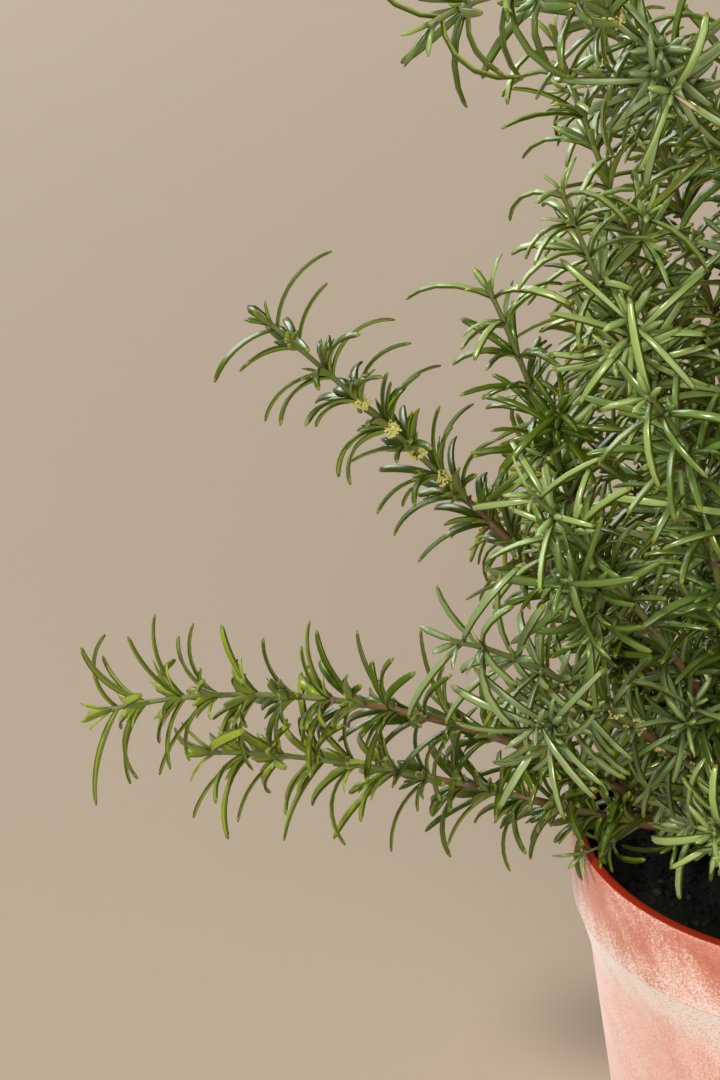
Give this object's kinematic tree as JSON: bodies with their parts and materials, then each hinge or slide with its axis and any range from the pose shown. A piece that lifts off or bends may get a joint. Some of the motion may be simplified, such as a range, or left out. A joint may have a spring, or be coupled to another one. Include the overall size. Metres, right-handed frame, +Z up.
{
  "type": "potted rosemary",
  "caption": "Bushy evergreen herb shrub with narrow paired leaves on spreading and upright shoots, in a round tapered plastic pot with a deep collar, filled with dark soil.",
  "frame": {"origin": "on the pot's axis, in the plane of the pot's flat underside", "axes": "+Z up, from the underside towards the top of the plant; -X towards the long low shoots on the left"},
  "size_m": [0.5306, 0.4845, 0.6364],
  "materials": {
    "pot_plastic": "matte",
    "potting_mix": "matte",
    "bark": "matte",
    "leaves": "satin"
  },
  "bodies": {
    "root": {"pot": "pot_plastic", "potting_soil": "potting_mix", "trunk": "bark", "bough_low_1": "bark", "foliage_low_1_a": "leaves", "foliage_low_1_b": "leaves", "bough_low_2": "bark", "foliage_low_2_a": "leaves", "foliage_low_2_b": "leaves", "bough_low_3": "bark", "foliage_low_3_a": "leaves", "foliage_low_3_b": "leaves", "bough_low_4": "bark", "foliage_low_4_a": "leaves", "foliage_low_4_b": "leaves", "bough_low_5": "bark", "foliage_low_5_a": "leaves", "foliage_low_5_b": "leaves", "bough_low_6": "bark", "foliage_low_6_a": "leaves", "foliage_low_6_b": "leaves", "bough_low_7": "bark", "foliage_low_7_a": "leaves", "foliage_low_7_b": "leaves", "bough_middle_1": "bark", "foliage_middle_1_a": "leaves", "foliage_middle_1_b": "leaves", "bough_middle_2": "bark", "foliage_middle_2_a": "leaves", "foliage_middle_2_b": "leaves", "bough_middle_3": "bark", "foliage_middle_3_a": "leaves", "foliage_middle_3_b": "leaves", "bough_middle_4": "bark", "foliage_middle_4_a": "leaves", "foliage_middle_4_b": "leaves", "bough_middle_5": "bark", "foliage_middle_5_a": "leaves", "foliage_middle_5_b": "leaves", "bough_middle_6": "bark", "foliage_middle_6_a": "leaves", "foliage_middle_6_b": "leaves", "bough_upper_1": "bark", "foliage_upper_1_a": "leaves", "foliage_upper_1_b": "leaves", "bough_upper_2": "bark", "foliage_upper_2_a": "leaves", "foliage_upper_2_b": "leaves", "bough_upper_3": "bark", "foliage_upper_3_a": "leaves", "foliage_upper_3_b": "leaves", "bough_upper_4": "bark", "foliage_upper_4_a": "leaves", "foliage_upper_4_b": "leaves", "bough_leader_1": "bark", "foliage_leader_1_a": "leaves", "foliage_leader_1_b": "leaves", "bough_leader_2": "bark", "foliage_leader_2_a": "leaves", "foliage_leader_2_b": "leaves"}
  },
  "joints": []
}
